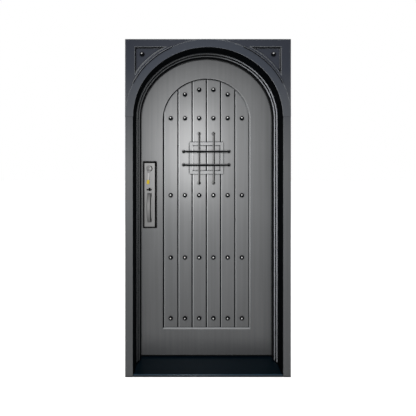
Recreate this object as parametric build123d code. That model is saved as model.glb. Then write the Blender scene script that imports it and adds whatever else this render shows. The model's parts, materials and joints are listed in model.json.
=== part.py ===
from build123d import *
import math
import os

# An iron entrance door in its own welded frame: a three-centred arched leaf with a recessed
# plank panel, domed studs, a small barred look-out door and a full-plate handle set.
# Millimetres. X points right seen from outside, the outside faces -Y, Z is up, and the origin
# is the middle of the threshold's underside.

# Frame
frame_width = 1016.0
frame_height = 2070.0
frame_depth = 203.0
tube_face = 50.0
tube_wall = 3.0
tube_lip = 3.6
tube_outer_lip = 1.5
sheet = 3.0
# The arched opening: how far its rise falls short of a half circle, and how much smaller the
# haunch radius is than the rise
arch_flattening = 33.0
arch_haunch_lift = 20.0
# Stops and seal, measured back from the outside face
stop_outer_start = 87.0
stop_outer_height = 10.0
stop_inner_start = 103.0
stop_inner_height = 20.0
seal_thickness = 6.5
seal_width = 12.0
# Threshold
threshold_height = 15.0
threshold_lip = 6.0
# Leaf
leaf_setback = 141.0
leaf_thickness = 62.0
leaf_gap = 6.0
leaf_bottom = 28.0
leaf_tube = 30.0
sweep_width = 46.0
sweep_clearance = 1.0
sweep_head = 5.0
sweep_lip = 6.0
# Recessed plank panel
panel_margin = 166.0
panel_flattening = 16.0
panel_haunch_lift = 10.0
panel_bottom_margin = 177.0
panel_depth = 8.0
panel_bevel = 6.0
panel_return = 9.0
plank_count = 6
plank_thickness = 4.0
groove_depth = 2.6
groove_bevel = 3.4
# Studs
stud_radius = 14.0
stud_height = 10.0
stud_sides = 8
stud_rows_over_panel_bottom = [61.0, 468.0]
stud_row_under_bars = 71.0
stud_row_over_spring = 11.0
stud_top_inner_rise = 202.0
stud_top_outer_rise = 170.0
corner_stud_side_margin = 104.0
corner_stud_top_margin = 91.0
# Corner panels of the frame
corner_side_margin = 67.5
corner_top_margin = 55.5
corner_arch_margin = 24.0
corner_recess = 8.0
corner_bevel = 6.0
corner_plate_least = 2.0
bead_width = 8.0
bead_height = 4.5
bead_bevel = 2.6
bead_inner_x = 220.0
bead_foot_rise = 206.0
# Barred look-out
window_width = 223.0
window_drop = 360.4
window_height = 210.2
window_border = 18.5
window_recess = 7.0
little_door_thickness = 12.0
little_door_gap = 2.0
liner_wall = 3.0
bar_radius = 6.5
bar_sides = 8
bar_foot_radius = 11.0
bar_foot_collar = 8.0
bar_foot_height = 6.0
bar_bend = 16.0
bar_standoff = 27.0
bar_cross_gap = 0.3
upright_bar_x = 48.0
upright_bar_low_overhang = 73.6
upright_bar_high_overhang = 70.2
cross_bar_overhang = 52.5
cross_bar_rises = [59.4, 148.4]
little_groove_half = 3.0
little_groove_depth = 3.0
# Handle set
backset = 75.0
plate_width = 70.0
plate_below_thumb = 248.0
plate_above_cylinder = 36.0
plate_thickness = 4.0
plate_edge = 1.2
backplate_margin = 11.0
backplate_thickness = 9.0
backplate_bevel = 6.0
grip_drop = 25.0
grip_length = 190.0
grip_width = 25.0
grip_thickness = 13.0
grip_reach = 52.0
grip_post = 22.0
grip_shoulder = 14.0
grip_inner_shoulder = 8.0
grip_edge = 3.2
thumb_height = 1133.0
thumb_width = 32.0
thumb_length = 34.0
thumb_shoulder = 8.0
thumb_thickness = 5.0
thumb_notch_depth = 3.0
thumb_stand_off = 2.0
thumb_tang_half = 4.5
thumb_tang_thickness = 3.0
thumb_hub_radius = 3.6
thumb_pin_radius = 1.5
thumb_pin_drop = 1.0
tang_slot_half = 6.0
tang_slot_below = 12.0
tang_slot_above = 10.0
thumb_tang_root = 4.0
thumb_pin_seat = 4.0
cylinder_rise = 138.0
cylinder_radius = 19.0
cylinder_proud = 10.0
cylinder_edge = 4.0
barrel_radius = 13.0
plug_radius = 6.5
plug_clearance = 0.05
plug_proud = 1.0
key_thickness = 2.0
key_blade = 7.6
key_neck = 12.0
key_depth = 14.0
key_bow_radius = 11.0
key_bow_overlap = 3.0
key_hole_inset = 5.0
ring_radius = 12.0
ring_wire = 0.9
ring_slack = 0.9
key_hole_radius = 3.4
strap_width = 9.0
strap_length = 48.0
strap_thickness = 1.6
strap_tilt = 4.0
tag_width = 17.0
tag_length = 27.0
tag_thickness = 5.0
tag_corner = 4.0
inner_lever_length = 110.0
inner_lever_stand = 38.0
inner_lever_back = 12.0
inner_lever_thick = 9.0
inner_lever_thin = 6.0
inner_rose_radius = 12.0
inner_rose_depth = 10.0
turn_rose_radius = 15.0
turn_rose_depth = 6.0
turn_wing_half = 18.0
turn_wing_thickness = 8.0
turn_wing_start = 8.0
turn_wing_end = 28.0
turn_wing_corner = 6.0
# Lock
case_length = 92.0
case_width = 24.0
case_wall = 2.0
case_margin = 40.0
faceplate_width = 26.0
latch_height = 24.0
latch_width = 12.0
latch_throw = 12.0
latch_tail = 48.0
latch_nose = 9.5
deadbolt_height = 32.0
deadbolt_width = 14.0
deadbolt_throw = 25.0
deadbolt_tail = 58.0
deadbolt_inset = 0.5
bolt_clearance = 0.3
strike_thickness = 1.6
strike_width = 34.0
strike_end = 16.0
strike_hole_clearance = 1.0
strike_box_wall = 1.5
strike_box_spare = 4.0
screw_radius = 2.5
screw_length = 12.0
# Hinges
hinge_heights = [300.0, 915.0, 1500.0]
hinge_length = 124.0
hinge_radius = 11.0
hinge_pin_radius = 6.0
hinge_ear = 44.0
hinge_ear_thickness = 6.0
hinge_bearing = 2.0
hinge_head = 4.0
hinge_head_inset = 1.5
hinge_bearing_inset = 1.0
hinge_bearing_play = 0.1
running_clearance = 0.05
seat_gap = 0.3
little_hinge_radius = 4.0
little_pin_radius = 2.0
little_hinge_length = 36.0
little_bolt_radius = 3.0
little_bolt_length = 59.0
little_bolt_throw = 9.0
little_bolt_stand = 6.0
little_bolt_knob = 16.0
little_bolt_knob_share = 0.6
little_hinge_share = 0.2
little_keeper_radius = 4.8
little_eye_half = 4.0
little_eye_height = 12.0
little_eye_cover = 5.5
little_eye_first = 14.0
little_eye_pitch = 40.0
little_hinge_strap = 9.0
little_hinge_split = 0.5
# Holes for anchoring the frame to the wall
anchor_radius = 5.0
anchor_heights = [480.0, 1380.0]

# Places that follow from the sizes above
front = -frame_depth / 2
back = frame_depth / 2
half_width = frame_width / 2
opening_half = half_width - tube_face
arch_rise = opening_half - arch_flattening
spring = frame_height - tube_face - arch_rise
leaf_front = front + leaf_setback
leaf_back = leaf_front + leaf_thickness
panel_face = leaf_front + panel_depth
inner_panel_face = leaf_back - panel_depth
plank_back = panel_face + plank_thickness
leaf_edge = opening_half - leaf_gap
panel_half = leaf_edge - panel_margin
panel_rise = panel_half - panel_flattening
panel_bottom = leaf_bottom + panel_bottom_margin
window_low = spring - window_drop
window_high = window_low + window_height
window_inside = window_width / 2 - window_border
upright_bar_low = window_low - upright_bar_low_overhang
upright_bar_high = window_high + upright_bar_high_overhang
little_door_front = leaf_front + window_recess
little_door_rear = little_door_front + little_door_thickness
plate_x = -leaf_edge + backset
cylinder_height = thumb_height + cylinder_rise
plate_low = thumb_height - plate_below_thumb
plate_high = cylinder_height + plate_above_cylinder
grip_high = thumb_height - grip_drop
grip_low = grip_high - grip_length
leaf_middle = (leaf_front + leaf_back) / 2
plate_front = leaf_front - backplate_thickness - plate_thickness
backplate_front = leaf_front - backplate_thickness
case_front_y = leaf_middle - case_width / 2
case_back_y = leaf_middle + case_width / 2
case_low = thumb_height - case_margin
case_high = cylinder_height + case_margin
faceplate_inner_x = -leaf_edge + tube_wall
case_end_x = faceplate_inner_x + case_length
hinge_x = opening_half - leaf_gap / 2
hinge_y = leaf_back + hinge_radius + seat_gap
anchor_y = (leaf_front + leaf_back) / 2


class Arch:
    """A three-centred arch standing on two straight legs, with parallel offsets of itself."""

    def __init__(self, half_span, rise, haunch, springing):
        self.half_span = half_span
        self.haunch = haunch
        self.springing = springing
        self.haunch_x = half_span - haunch
        lift = rise - haunch
        self.crown = (self.haunch_x**2 + rise**2 - haunch**2) / (2 * lift)
        self.drop = self.crown - rise
        self.join = math.atan2(self.haunch_x, self.drop)

    def point(self, angle, inset):
        """The point at an angle from the vertical, positive to the right, moved inward by inset."""
        side = math.copysign(1, angle)
        if abs(angle) <= self.join:
            centre = (0, self.springing - self.drop)
            radius = self.crown - inset
        else:
            centre = (side * self.haunch_x, self.springing)
            radius = self.haunch - inset
        return (centre[0] + radius * math.sin(angle), centre[1] + radius * math.cos(angle))

    def angle_at_height(self, height, inset):
        """The angle of the curve's right-hand point at this height."""
        radius = self.crown - inset
        crown_foot = self.springing - self.drop + radius * math.cos(self.join)
        if height >= crown_foot:
            return math.acos((height - self.springing + self.drop) / radius)
        return math.acos((height - self.springing) / (self.haunch - inset))

    def angle_at_side(self, across, inset):
        """The angle of the curve's right-hand point at this distance from the middle."""
        radius = self.crown - inset
        if across <= radius * math.sin(self.join):
            return math.asin(across / radius)
        return math.asin((across - self.haunch_x) / (self.haunch - inset))

    def curves(self, start, end, inset):
        """The arcs from one angle to another, both from the vertical and start below end."""
        stops = [start]
        for join in (-self.join, self.join):
            if start < join < end:
                stops.append(join)
        stops.append(end)
        arcs = []
        for first, last in zip(stops, stops[1:]):
            middle = (first + last) / 2
            arcs.append(
                ThreePointArc(self.point(first, inset), self.point(middle, inset), self.point(last, inset))
            )
        return arcs

    def face(self, inset, bottom):
        """The filled outline down to bottom."""
        side = self.half_span - inset
        edges = self.curves(-math.pi / 2, math.pi / 2, inset)
        if bottom < self.springing:
            edges.append(Line((side, self.springing), (side, bottom)))
            edges.append(Line((side, bottom), (-side, bottom)))
            edges.append(Line((-side, bottom), (-side, self.springing)))
        else:
            edges.append(Line((side, self.springing), (-side, self.springing)))
        return make_face(edges)


opening = Arch(opening_half, arch_rise, arch_rise - arch_haunch_lift, spring)
panel = Arch(panel_half, panel_rise, panel_rise - panel_haunch_lift, spring)


def block(x_range, y_range, z_range):
    """A box between pairs of limits."""
    lows_and_highs = (x_range, y_range, z_range)
    size = [high - low for low, high in lows_and_highs]
    centre = [(high + low) / 2 for low, high in lows_and_highs]
    return Pos(*centre) * Box(*size)


def upright(profile, y_low, y_high):
    """A profile drawn across the door (x, z), made solid from y_low back to y_high."""
    return extrude(Plane.XZ.offset(-y_high) * profile, amount=y_high - y_low, dir=(0, -1, 0))


def tapered(front_profile, back_profile, y_low, y_high):
    """A straight-sided solid from one upright profile to another behind it."""
    near = Plane.XZ.offset(-y_low) * front_profile
    far = Plane.XZ.offset(-y_high) * back_profile
    return loft([near.face(), far.face()], ruled=True)


def rod_y(x, z, radius, y_low, y_high):
    """A round rod along the depth of the door."""
    return upright(Pos(x, z) * Circle(radius), y_low, y_high)


def rod_z(x, y, radius, z_low, z_high):
    """A round rod standing up."""
    return Pos(x, y, (z_low + z_high) / 2) * Cylinder(radius, z_high - z_low)


def rod_x(y, z, radius, x_low, x_high):
    """A round rod lying across the door."""
    return Pos((x_low + x_high) / 2, y, z) * Rot(0, 90, 0) * Cylinder(radius, x_high - x_low)


def other_side(shape):
    """The same piece on the right-hand side."""
    return mirror(shape, about=Plane.YZ)


def group(solids):
    """Several like pieces kept as separate solids of one node."""
    return Compound(children=list(solids))


def arch_ring(outer_inset, inner_inset, bottom, y_low, y_high):
    """A band that follows the arched opening."""
    whole = upright(opening.face(outer_inset, bottom), y_low, y_high)
    return whole - upright(opening.face(inner_inset, bottom - 1), y_low - 1, y_high + 1)


# Frame


def arch_head():
    """The rolled box tube over the opening, open at its feet where the jambs carry on."""
    tube = arch_ring(-tube_face, 0, spring, front, back)
    wall = tube_wall
    hollow = arch_ring(-tube_face + wall, -wall, spring - 1, front + wall, back - wall)
    wide = opening.face(-tube_lip, spring - 1)
    narrow = opening.face(tube_lip, spring - 1)
    lip = tapered(wide, narrow, front - tube_lip, front + tube_lip)
    return tube - hollow - lip


def bolt_room(height, bolt_width, bolt_height, throw, grow):
    """The room a thrown bolt takes behind its strike plate, grown by grow all round."""
    half_y = bolt_width / 2 + strike_hole_clearance + grow
    half_z = bolt_height / 2 + strike_hole_clearance + grow
    end = -leaf_edge - throw - strike_box_spare - grow
    reach = (end, -opening_half + strike_thickness + 1)
    return block(reach, (leaf_middle - half_y, leaf_middle + half_y), (height - half_z, height + half_z))


def bolt_rooms(grow):
    """Both bolts' rooms in the jamb: the latch below, the deadbolt above."""
    latch = bolt_room(thumb_height, latch_width, latch_height, latch_throw, grow)
    return [latch, bolt_room(cylinder_height, deadbolt_width, deadbolt_height, deadbolt_throw, grow)]


def anchor_holes():
    """The screw holes through a left-hand jamb, hidden by the closed leaf."""
    reach = (-half_width - 1, -opening_half + 1)
    holes = [rod_x(anchor_y, height, anchor_radius, *reach) for height in anchor_heights]
    return holes[0] + holes[1:]


def jamb(with_strikes):
    """A straight box tube up to the springing, drawn as the left-hand one, with the welded dust
    boxes that the bolts are thrown into."""
    x_range = (-half_width, -opening_half)
    tube = block(x_range, (front, back), (0, spring))
    uprights = tube.edges().filter_by(Axis.Z).filter_by(lambda edge: edge.center().Y < 0)
    tube = chamfer(uprights.sort_by(Axis.X)[-1], tube_lip)
    uprights = tube.edges().filter_by(Axis.Z).filter_by(lambda edge: edge.center().Y < 0)
    tube = chamfer(uprights.sort_by(Axis.X)[0], tube_outer_lip)
    wall = tube_wall
    tube = tube - block(
        (-half_width + wall, -opening_half - wall), (front + wall, back - wall), (-1, spring + 1)
    )
    tube = tube - anchor_holes()
    if with_strikes:
        behind = block((-half_width, -opening_half), (front, back), (0, spring))
        for dust_box in bolt_rooms(strike_box_wall):
            tube = tube + (dust_box & behind)
        for cut in bolt_rooms(0) + strike_screw_list():
            tube = tube - cut
    return tube


def corner_gap_side(gap):
    """The height at which the arch tube stands this far in from the frame's side."""
    radius = opening.haunch + tube_face
    return spring + math.sqrt(radius**2 - (radius - gap) ** 2)


def corner_gap_top(gap):
    """The distance from the middle at which the arch tube is this far under the frame's top."""
    radius = opening.crown + tube_face
    return math.sqrt(radius**2 - (radius - gap) ** 2)


def arch_tube_space():
    return upright(opening.face(-tube_face, spring), front - 1, back + 1)


def corner_wrap():
    """The bent strip that closes the side and top of a corner, drawn for the left."""
    low = corner_gap_side(sheet)
    near = corner_gap_top(sheet)
    outside = block((-half_width, -near), (front, back), (low, frame_height))
    inside = block(
        (-half_width + sheet, -near + 1), (front - 1, back + 1), (low - 1, frame_height - sheet)
    )
    return outside - inside - arch_tube_space()


def triangle(grow):
    """The outline of the recessed corner panel, drawn for the left, moved outward by grow."""
    inset = -(tube_face + corner_arch_margin - grow)
    side = half_width - corner_side_margin + grow
    top = frame_height - corner_top_margin + grow
    high_angle = -opening.angle_at_height(top, inset)
    low_angle = -opening.angle_at_side(side, inset)
    edges = opening.curves(low_angle, high_angle, inset)
    edges.append(Line(opening.point(high_angle, inset), (-side, top)))
    edges.append(Line((-side, top), opening.point(low_angle, inset)))
    return make_face(edges)


def corner_sheet(with_panel):
    """The flat plate between the arch tube and the corner, drawn for the left outside face."""
    plate = block(
        (-half_width + sheet, -corner_gap_top(sheet + corner_plate_least)),
        (front, front + sheet),
        (corner_gap_side(sheet + corner_plate_least), frame_height - sheet),
    )
    plate = plate - arch_tube_space()
    if with_panel:
        plate = plate - upright(triangle(corner_bevel + sheet), front - 1, front + sheet + 1)
    return plate


def corner_pan():
    """The pressed tray with sloping sides that sits in the corner plate."""
    tray = upright(triangle(corner_bevel + sheet), front, front + corner_recess + sheet)
    return tray - tapered(triangle(corner_bevel), triangle(0), front, front + corner_recess)


def arch_bead():
    """The raised moulding welded over the seam between tube and corner plate, its top bevelled."""
    half = bead_width / 2
    slope = bead_bevel
    shoulder = front - bead_height + slope
    top = front - bead_height
    outside = upright(opening.face(-tube_face - half, spring), shoulder, front)
    ridge = opening.face(-tube_face - half + slope, spring)
    outside = outside + tapered(ridge, opening.face(-tube_face - half, spring), top, shoulder)
    inside = upright(opening.face(-tube_face + half, spring - 1), shoulder, front + 1)
    inside = inside + tapered(
        opening.face(-tube_face + half - slope, spring - 1),
        opening.face(-tube_face + half, spring - 1),
        top - 0.01,
        shoulder,
    )
    foot = spring + bead_foot_rise
    span = block((-half_width, -bead_inner_x), (top - 1, front + 1), (foot, frame_height))
    return (outside - inside) & span


def dome(x, z, seat_y):
    """A hand-forged stud head on an upright face: two tiers of facets and a small flat crown."""
    tiers = [(0.0, 1.0), (0.55, 0.86), (1.0, 0.36)]
    head = None
    for (low, wide), (high, narrow) in zip(tiers, tiers[1:]):
        base = Plane.XZ.offset(-(seat_y - low * stud_height)) * Pos(x, z)
        top = Plane.XZ.offset(-(seat_y - high * stud_height)) * Pos(x, z)
        step = loft(
            [
                (base * RegularPolygon(stud_radius * wide, stud_sides)).face(),
                (top * RegularPolygon(stud_radius * narrow, stud_sides)).face(),
            ],
            ruled=True,
        )
        head = step if head is None else head + step
    return head


def corner_studs():
    seat = front + corner_recess
    across = half_width - corner_stud_side_margin
    height = frame_height - corner_stud_top_margin
    return group([dome(side * across, height, seat) for side in (-1, 1)])


def threshold():
    """A closed flat pan between the jambs, with a rounded nose on the outside."""
    x_range = (-opening_half, opening_half)
    pan = block(x_range, (front, back), (0, threshold_height))
    nose = pan.edges().filter_by(Axis.X).filter_by(lambda edge: edge.center().Z > 1)
    pan = fillet(nose, threshold_lip)
    wall = tube_wall
    return pan - block(
        (-opening_half - 1, opening_half + 1),
        (front + threshold_lip, back - threshold_lip),
        (wall, threshold_height - wall),
    )


def stop_outer():
    inner = stop_outer_height
    return arch_ring(0, inner, threshold_height, front + stop_outer_start, leaf_front - seal_thickness)


def stop_inner():
    rear = leaf_front - seal_thickness
    return arch_ring(
        stop_outer_height, stop_inner_height, threshold_height, front + stop_inner_start, rear
    )


def weatherstrip():
    outer = stop_inner_height - seal_width
    return arch_ring(
        outer, stop_inner_height, threshold_height + 1, leaf_front - seal_thickness, leaf_front
    )


# Strikes on the latch jamb


def strike_holder(height, half_height):
    """The plate's low and high ends round one bolt hole."""
    return (height - half_height - strike_end, height + half_height + strike_end)


def strike_ends():
    latch = strike_holder(thumb_height, latch_height / 2)
    deadbolt = strike_holder(cylinder_height, deadbolt_height / 2)
    return [latch, deadbolt]


def strike_screw_list():
    """Flush screws, two to a strike plate, pointing into the jamb."""
    screws = []
    outer_x = -opening_half + strike_thickness
    for low, high in strike_ends():
        for height in (low + strike_end / 2, high - strike_end / 2):
            screws.append(rod_x(leaf_middle, height, screw_radius, outer_x - screw_length, outer_x))
    return screws


def strike_plates():
    """Two plates screwed to the jamb over the mouths of the dust boxes."""
    plates = []
    x_range = (-opening_half, -opening_half + strike_thickness)
    y_range = (leaf_middle - strike_width / 2, leaf_middle + strike_width / 2)
    for (low, high), room in zip(strike_ends(), bolt_rooms(0)):
        plate = block(x_range, y_range, (low, high)) - room
        for screw in strike_screw_list():
            plate = plate - screw
        plates.append(plate)
    return group(plates)


# Hinges on the inside, three alike


def hinge_half(height, upper):
    """A barrel with its flat ear: the lower one is on the jamb, the upper one on the leaf."""
    half = hinge_length / 2
    if upper:
        z_range = (height + hinge_bearing / 2, height + half)
        ear_x = (hinge_x - hinge_ear, hinge_x)
        bore = hinge_pin_radius + running_clearance
    else:
        z_range = (height - half, height - hinge_bearing / 2)
        ear_x = (hinge_x, hinge_x + hinge_ear)
        bore = hinge_pin_radius
    barrel = rod_z(hinge_x, hinge_y, hinge_radius, *z_range)
    ear = block(ear_x, (leaf_back, leaf_back + hinge_ear_thickness), z_range)
    hole = rod_z(hinge_x, hinge_y, bore, z_range[0] - 1, z_range[1] + 1)
    return barrel + ear - hole


def hinge_pin(height):
    half = hinge_length / 2
    shank = rod_z(hinge_x, hinge_y, hinge_pin_radius, height - half, height + half + seat_gap)
    head_low = height + half + seat_gap
    return shank + rod_z(hinge_x, hinge_y, hinge_radius - hinge_head_inset, head_low, head_low + hinge_head)


def hinge_bearing_ring(height):
    half = hinge_bearing / 2
    low, high = height - half, height + half - hinge_bearing_play
    bore = hinge_pin_radius + running_clearance
    ring = rod_z(hinge_x, hinge_y, hinge_radius - hinge_bearing_inset, low, high)
    return ring - rod_z(hinge_x, hinge_y, bore, low - half, high + half)


# Leaf structure


def leaf_band(outer, inner, bottom, y_low, y_high):
    return arch_ring(leaf_gap + outer, leaf_gap + inner, bottom, y_low, y_high)


def case_space(extra):
    """The room the lock case takes, grown by extra."""
    return block(
        (faceplate_inner_x - extra, case_end_x + extra),
        (case_front_y - extra, case_back_y + extra),
        (case_low - extra, case_high + extra),
    )


def leaf_stile(latch_side):
    """An upright tube of the leaf, drawn as the left-hand one."""
    y_range = (leaf_front + sheet, leaf_back - sheet)
    wall = tube_wall
    tube = block((-leaf_edge, -leaf_edge + leaf_tube), y_range, (leaf_bottom, spring))
    tube = tube - block(
        (-leaf_edge + wall, -leaf_edge + leaf_tube - wall),
        (y_range[0] + wall, y_range[1] - wall),
        (leaf_bottom - 1, spring + 1),
    )
    if latch_side:
        half = faceplate_width / 2
        tube = tube - case_space(0)
        tube = tube - block(
            (-leaf_edge - 1, -leaf_edge + wall + 1),
            (leaf_middle - half, leaf_middle + half),
            (case_low - 1, case_high + 1),
        )
    return tube


def leaf_arch_rail():
    wall = tube_wall
    y_range = (leaf_front + sheet, leaf_back - sheet)
    tube = leaf_band(0, leaf_tube, spring, *y_range)
    return tube - leaf_band(wall, leaf_tube - wall, spring - 1, y_range[0] + wall, y_range[1] - wall)


def leaf_bottom_rail():
    wall = tube_wall
    across = leaf_edge - leaf_tube
    y_range = (leaf_front + sheet, leaf_back - sheet)
    tube = block((-across, across), y_range, (leaf_bottom, leaf_bottom + leaf_tube))
    return tube - block(
        (-across - 1, across + 1),
        (y_range[0] + wall, y_range[1] - wall),
        (leaf_bottom + wall, leaf_bottom + leaf_tube - wall),
    )


def recess(grow):
    return panel.face(-grow, panel_bottom - grow)


def barrel_space():
    return rod_y(plate_x, cylinder_height, barrel_radius, leaf_front - 40, case_front_y)


def spindle_space():
    """The inside holes for the lever's and the thumb turn's spindles."""
    holes = rod_y(plate_x, cylinder_height, barrel_radius, case_back_y, leaf_back + 1)
    return holes + rod_y(plate_x, thumb_height, barrel_radius, case_back_y, leaf_back + 1)


def front_skin():
    """The outside sheet, turned in with a sloping edge round the plank panel."""
    skin = upright(opening.face(leaf_gap, leaf_bottom), leaf_front, leaf_front + sheet)
    skin = skin + upright(recess(panel_return), leaf_front, panel_face)
    skin = skin - tapered(recess(panel_bevel), recess(0), leaf_front, panel_face)
    return skin - barrel_space()


def back_skin():
    """The inside sheet, with the same panel opening."""
    skin = upright(opening.face(leaf_gap, leaf_bottom), leaf_back - sheet, leaf_back)
    skin = skin + upright(recess(panel_return), inner_panel_face, leaf_back)
    skin = skin - tapered(recess(0), recess(panel_bevel), inner_panel_face, leaf_back)
    return skin - spindle_space()


def window_space(grow, y_low, y_high):
    half = window_inside + grow
    low = window_low + window_border - grow
    high = window_high - window_border + grow
    return block((-half, half), (y_low, y_high), (low, high))


def groove(x, face_y, inward):
    """A V cut down the face of the panel at one joint between planks."""
    tip = face_y + inward * groove_depth
    start = face_y - inward
    wide = groove_bevel * (groove_depth + 1) / groove_depth
    edges = [
        Line((x - wide, start), (x, tip)),
        Line((x, tip), (x + wide, start)),
        Line((x + wide, start), (x - wide, start)),
    ]
    length = spring + panel_rise - panel_bottom + 2 * panel_return
    shape = extrude(make_face(edges), amount=length, dir=(0, 0, 1))
    return Pos(0, 0, panel_bottom - panel_return) * shape


def plank_lines():
    pitch = 2 * panel_half / plank_count
    return [-panel_half + pitch * index for index in range(1, plank_count)]


def plank(index):
    """One upright steel plank, its joints bevelled and its top cut to the arch."""
    pitch = 2 * panel_half / plank_count
    low_x = -panel_half + pitch * index
    high_x = low_x + pitch
    if index == 0:
        low_x = low_x - panel_return
    if index == plank_count - 1:
        high_x = high_x + panel_return
    top = spring + panel_rise + panel_return
    column = block((low_x, high_x), (panel_face - 1, plank_back + 1), (panel_bottom - panel_return, top))
    board = upright(recess(panel_return), panel_face, plank_back) & column
    for line in plank_lines():
        if low_x - 1 < line < high_x + 1:
            board = board - groove(line, panel_face, 1)
    return board - window_space(liner_wall, panel_face - 1, plank_back + 1)


def inner_panel():
    """The inside of the recess: one sheet with the same joints pressed in."""
    rear = inner_panel_face - plank_thickness
    board = upright(recess(panel_return), rear, inner_panel_face)
    for line in plank_lines():
        board = board - groove(line, inner_panel_face, -1)
    return board - window_space(liner_wall, rear - 1, inner_panel_face + 1)


def insulation_core():
    """Rigid foam that fills the leaf between the tubes, the panels and the lock."""
    outline = opening.face(leaf_gap + leaf_tube, leaf_bottom + leaf_tube)
    core = upright(outline, leaf_front + sheet, leaf_back - sheet)
    hollow_front = upright(recess(panel_return), leaf_front, plank_back)
    hollow_back = upright(recess(panel_return), inner_panel_face - plank_thickness, leaf_back)
    core = core - hollow_front - hollow_back
    core = core - window_space(liner_wall, leaf_front, leaf_back) - little_bolt_keeper()
    return core - case_space(0) - barrel_space() - spindle_space()


def door_sweep():
    """The rubber strip under the leaf, with two wiping lips."""
    low = threshold_height + sweep_clearance
    middle = leaf_middle
    half = sweep_width / 2
    across = (-leaf_edge, leaf_edge)
    head = block(across, (middle - half, middle + half), (leaf_bottom - sweep_head, leaf_bottom))
    for side in (-1, 1):
        centre = middle + side * (half - sweep_lip / 2)
        lip = (centre - sweep_lip / 2, centre + sweep_lip / 2)
        head = head + block(across, lip, (low, leaf_bottom - sweep_head + 1))
    return head


def door_studs():
    """Domed heads in six columns down the planks, with a stepped top row under the arch."""
    pitch = 2 * panel_half / plank_count
    columns = [-panel_half + pitch * (index + 0.5) for index in range(plank_count)]
    rows = [panel_bottom + rise for rise in stud_rows_over_panel_bottom]
    rows += [upright_bar_low - stud_row_under_bars, spring + stud_row_over_spring]
    studs = [dome(x, z, panel_face) for z in rows for x in columns]
    studs.extend(dome(x, spring + stud_top_inner_rise, panel_face) for x in columns[2:-2])
    studs.extend(dome(x, spring + stud_top_outer_rise, panel_face) for x in (columns[1], columns[-2]))
    return group(studs)


# Bars and look-out door


def bar(length, reach):
    """A bar bent back at both ends to round feet: drawn along X, feet at y=0, standing out to -y."""
    half = length / 2 - bar_foot_radius
    section = Rot(0, 0, 180 / bar_sides) * RegularPolygon(bar_radius, bar_sides)
    middle = extrude(
        Plane(origin=(-half + bar_bend, -reach, 0), z_dir=(1, 0, 0)) * section,
        amount=2 * (half - bar_bend),
        dir=(1, 0, 0),
    )
    leg_end = Plane(origin=(half, -reach + bar_bend, 0), z_dir=(0, 1, 0)) * section
    leg = extrude(leg_end, amount=reach - bar_bend, dir=(0, 1, 0))
    bend_axis = Axis((half - bar_bend, -reach + bar_bend, 0), (0, 0, 1))
    elbow = revolve(leg_end, axis=bend_axis, revolution_arc=-90)
    turned = Rot(0, 0, 180 / bar_sides)
    collar = turned * RegularPolygon(bar_foot_collar, bar_sides)
    sole = turned * RegularPolygon(bar_foot_radius, bar_sides)
    foot = loft(
        [
            (Plane(origin=(half, -bar_foot_height, 0), z_dir=(0, 1, 0)) * collar).face(),
            (Plane(origin=(half, 0, 0), z_dir=(0, 1, 0)) * sole).face(),
        ],
        ruled=True,
    )
    end = leg + elbow + foot
    return middle + end + mirror(end, about=Plane.YZ)


def upright_bars():
    height = upright_bar_high - upright_bar_low
    middle = (upright_bar_high + upright_bar_low) / 2
    shape = bar(height, bar_standoff)
    return group(Pos(side * upright_bar_x, panel_face, middle) * Rot(0, 90, 0) * shape for side in (-1, 1))


def cross_bars():
    reach = bar_standoff + 2 * bar_radius + bar_cross_gap
    shape = bar(window_width + 2 * cross_bar_overhang, reach)
    return group(Pos(0, panel_face, window_low + rise) * shape for rise in cross_bar_rises)


def little_axis():
    """Where the look-out door's hinge pin stands: x and y."""
    clear = little_hinge_radius + little_hinge_split
    return (window_inside - clear, little_door_rear + clear)


def little_hinge_heights():
    low = window_low + window_border
    high = window_high - window_border
    return [low + (high - low) * share for share in (little_hinge_share, 1 - little_hinge_share)]


def little_bolt_keeper():
    """The hole in the liner that the little bolt shoots into."""
    y, z = bolt_spot()
    return rod_x(y, z, little_keeper_radius, -window_inside - little_bolt_throw, -window_inside + 1)


def speakeasy_frame():
    """A flat raised border with a liner through the leaf, and the lower hinge knuckles."""
    half = window_width / 2
    border = block((-half, half), (leaf_front, panel_face), (window_low, window_high))
    frame = border + window_space(liner_wall, panel_face, leaf_back)
    frame = frame - window_space(0, leaf_front - 1, leaf_back + 1)
    x, y = little_axis()
    for height in little_hinge_heights():
        z_range = (height - little_hinge_length / 2, height - little_hinge_split)
        knuckle = rod_z(x, y, little_hinge_radius, *z_range)
        knuckle = knuckle + block((x, window_inside + 1), (y, y + little_hinge_radius), z_range)
        frame = frame + (knuckle - rod_z(x, y, little_pin_radius, z_range[0] - 1, z_range[1] + 1))
    return frame - little_bolt_keeper()


def speakeasy_door():
    """The solid little door, with one groove down its middle and the upper hinge knuckles."""
    near = little_door_front
    panel_block = window_space(-little_door_gap, near, little_door_rear)
    tip = near + little_groove_depth
    cut = make_face(
        [
            Line((-little_groove_half, near - 1), (0, tip)),
            Line((0, tip), (little_groove_half, near - 1)),
            Line((little_groove_half, near - 1), (-little_groove_half, near - 1)),
        ]
    )
    panel_block = panel_block - Pos(0, 0, window_low) * extrude(cut, amount=window_height, dir=(0, 0, 1))
    x, y = little_axis()
    for height in little_hinge_heights():
        z_range = (height + little_hinge_split, height + little_hinge_length / 2)
        knuckle = rod_z(x, y, little_hinge_radius, *z_range)
        knuckle = knuckle + block((x - little_hinge_strap, x), (little_door_rear - 1, y), z_range)
        bore = little_pin_radius + running_clearance
        panel_block = panel_block + knuckle - rod_z(x, y, bore, z_range[0] - 1, z_range[1] + 1)
    for eye in speakeasy_bolt_guides():
        panel_block = panel_block + eye
    return panel_block


def speakeasy_pins():
    x, y = little_axis()
    half = little_hinge_length / 2
    return group(rod_z(x, y, little_pin_radius, z - half, z + half) for z in little_hinge_heights())


def bolt_spot():
    """The middle of the look-out door's own bolt: y and z."""
    return (little_door_rear + little_bolt_stand, (window_low + window_high) / 2)


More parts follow.
